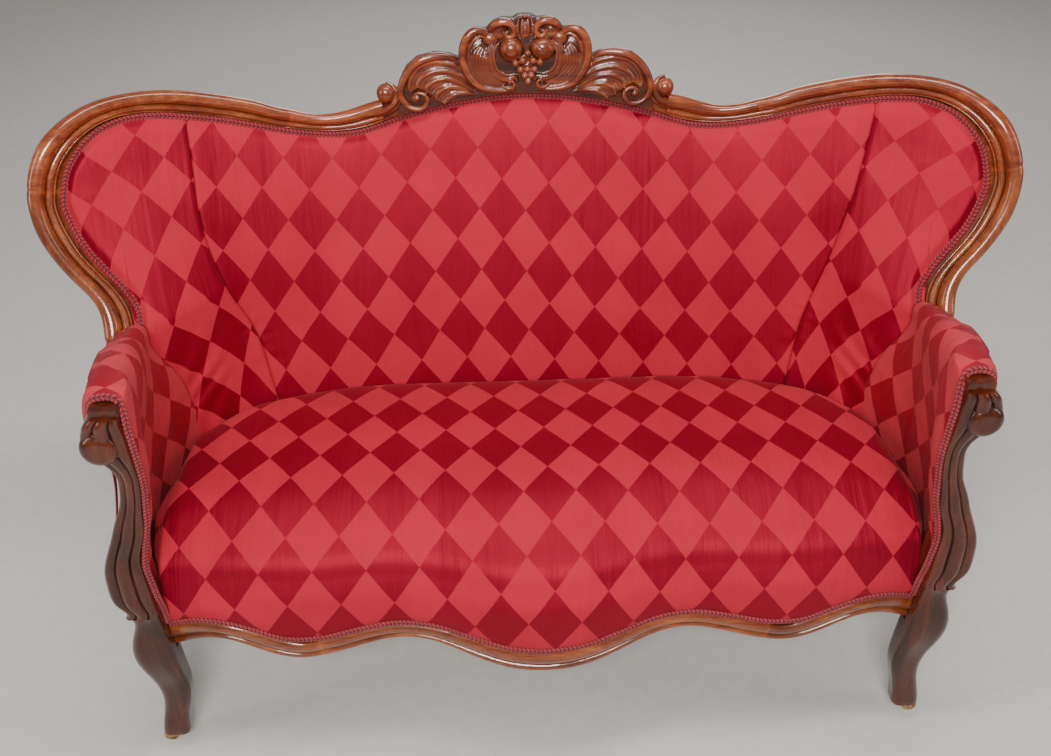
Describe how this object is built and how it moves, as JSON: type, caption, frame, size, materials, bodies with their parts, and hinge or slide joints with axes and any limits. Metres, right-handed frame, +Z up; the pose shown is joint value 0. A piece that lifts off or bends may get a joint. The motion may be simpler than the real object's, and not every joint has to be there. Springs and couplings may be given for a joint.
{
  "type": "settee",
  "caption": "Carved show-wood settee with a serpentine seat rail, padded curved back and wings, scrolled arms and cabriole front legs on casters.",
  "frame": {"origin": "centre of the whole piece on the floor", "axes": "+X to the viewer's right along the seat, -Y to the front, +Z up"},
  "size_m": [1.6254, 0.7595, 1.0364],
  "materials": {
    "beech": "unfinished frame beech",
    "brass": "aged, satin",
    "damask": "crimson damask with satin and matte diamonds",
    "gimp": "crimson braid",
    "hair": "curled hair stuffing",
    "jute": "jute webbing and hessian",
    "lining": "black cambric",
    "outside_cloth": "plain crimson cloth",
    "show_wood": "polished mahogany, warm red brown",
    "steel": "plain"
  },
  "bodies": {
    "frame": {"arm_post_left": "show_wood", "arm_post_right": "show_wood", "arm_rail_left": "beech", "arm_rail_right": "beech", "arm_stuffing_left": "hair", "arm_stuffing_right": "hair", "back_hessian": "jute", "back_leg_left": "show_wood", "back_leg_right": "show_wood", "back_seat_rail": "beech", "back_stile_left": "show_wood", "back_stile_right": "show_wood", "back_stuffing": "hair", "back_tack_rail": "beech", "back_webbing": "jute", "caster_plate_left": "brass", "caster_plate_right": "brass", "caster_screws": "steel", "corner_blocks": "beech", "crest_carving": "show_wood", "crest_rail": "show_wood", "dust_cover": "lining", "frame_dowels": "beech", "front_leg_left": "show_wood", "front_leg_right": "show_wood", "front_seat_rail_centre": "show_wood", "front_seat_rail_left": "show_wood", "front_seat_rail_right": "show_wood", "gimp_arm_left": "gimp", "gimp_arm_right": "gimp", "gimp_back": "gimp", "gimp_outside_arm_left": "gimp", "gimp_outside_arm_right": "gimp", "gimp_outside_back": "gimp", "gimp_seat_front": "gimp", "inside_arm_cover_left": "damask", "inside_arm_cover_right": "damask", "inside_back_cover": "damask", "inside_wing_cover_left": "damask", "inside_wing_cover_right": "damask", "outside_arm_cover_left": "outside_cloth", "outside_arm_cover_right": "outside_cloth", "outside_back_cover": "outside_cloth", "seat_cover": "damask", "seat_cross_braces": "beech", "seat_hessian": "jute", "seat_springs": "steel", "seat_stuffing": "hair", "seat_webbing": "jute", "shoulder_rail_left": "show_wood", "shoulder_rail_right": "show_wood", "side_seat_rail_left": "beech", "side_seat_rail_right": "beech", "wing_tack_rails": "beech"},
    "caster_right": {"caster_horn_right": "brass", "caster_axle_right": "steel"},
    "wheel_right": {"caster_wheel_right": "brass"},
    "caster_left": {"caster_horn_left": "brass", "caster_axle_left": "steel"},
    "wheel_left": {"caster_wheel_left": "brass"}
  },
  "joints": [
    {"name": "caster_swivel_right", "type": "hinge", "parent": "frame", "child": "caster_right", "pos_m": [0.637, -0.31517, 0.033], "axis": [0, 0, 1], "continuous": true},
    {"name": "wheel_spin_right", "type": "hinge", "parent": "caster_right", "child": "wheel_right", "pos_m": [0.653, -0.31517, 0.013], "axis": [0, 1, 0], "continuous": true},
    {"name": "caster_swivel_left", "type": "hinge", "parent": "frame", "child": "caster_left", "pos_m": [-0.637, -0.31517, 0.033], "axis": [0, 0, 1], "continuous": true},
    {"name": "wheel_spin_left", "type": "hinge", "parent": "caster_left", "child": "wheel_left", "pos_m": [-0.653, -0.31517, 0.013], "axis": [0, 1, 0], "continuous": true}
  ]
}
